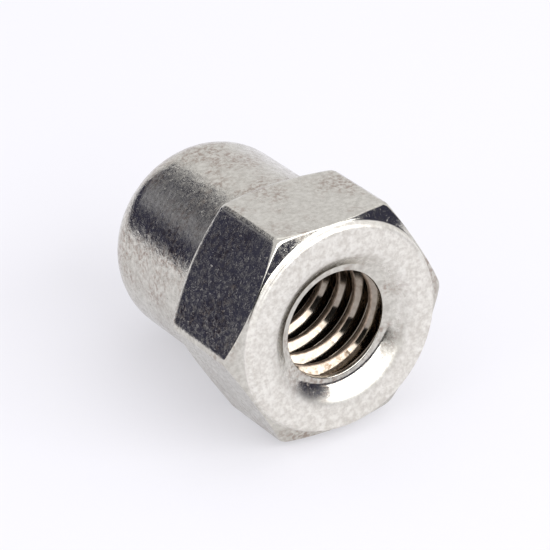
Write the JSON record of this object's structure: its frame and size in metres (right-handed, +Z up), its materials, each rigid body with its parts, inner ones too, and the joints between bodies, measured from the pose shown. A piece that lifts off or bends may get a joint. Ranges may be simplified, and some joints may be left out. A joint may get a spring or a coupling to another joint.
{
  "type": "domed cap nut",
  "caption": "Domed cap nut: a hexagon with a raised bearing face and a closed, rounded cap over a blind threaded hole, used to cover and finish the end of a bolt.",
  "frame": {"origin": "centre of the threaded mouth, in the plane of the bearing face", "axes": "+Z up; the nut lies on one flat with its axis along Y, the mouth towards -Y and raised by 4.4 degrees because the cap touches the ground; the nut is symmetric about X = 0"},
  "size_m": [0.0116, 0.0142, 0.0106],
  "materials": {
    "stainless_steel": "tumbled stainless steel, satin, with fine pits and scratches"
  },
  "bodies": {
    "root": {"cap_nut": "stainless_steel"}
  },
  "joints": []
}
